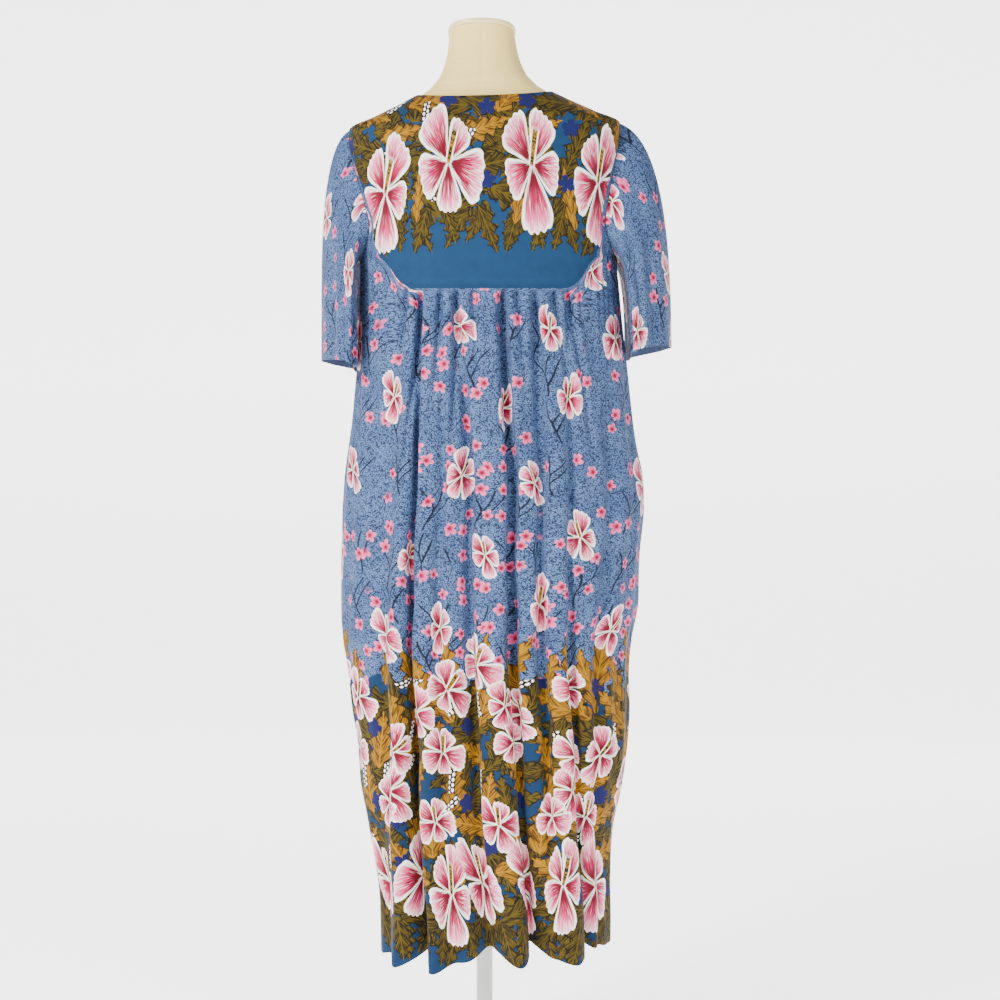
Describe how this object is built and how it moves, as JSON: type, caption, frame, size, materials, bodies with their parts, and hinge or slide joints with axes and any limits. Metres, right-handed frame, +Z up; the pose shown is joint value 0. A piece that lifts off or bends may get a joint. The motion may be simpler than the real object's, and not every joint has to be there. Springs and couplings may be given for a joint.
{
  "type": "muumuu dress on dress form",
  "caption": "Long loose muumuu with short sleeves and a U-shaped yoke, hanging on a limbless dress form with a round-based stand.",
  "frame": {"origin": "on the floor, at the middle of the stand's round base", "axes": "+Z up; the back of the dress faces -Y and the front +Y; +X is towards the wearer's right"},
  "size_m": [0.54, 0.38, 1.6326],
  "materials": {
    "border_cloth": "printed cotton, matte",
    "body_cloth": "printed cotton, matte",
    "form_linen": "plain linen cover",
    "neck_cap": "satin",
    "stand_metal": "satin"
  },
  "bodies": {
    "root": {"back_yoke": "border_cloth", "back_panel": "body_cloth", "front_yoke": "border_cloth", "front_panel": "body_cloth", "sleeve_left": "body_cloth", "sleeve_right": "body_cloth", "form_body": "form_linen", "form_neck_cap": "neck_cap", "stand_pole": "stand_metal", "stand_base": "stand_metal"}
  },
  "joints": []
}
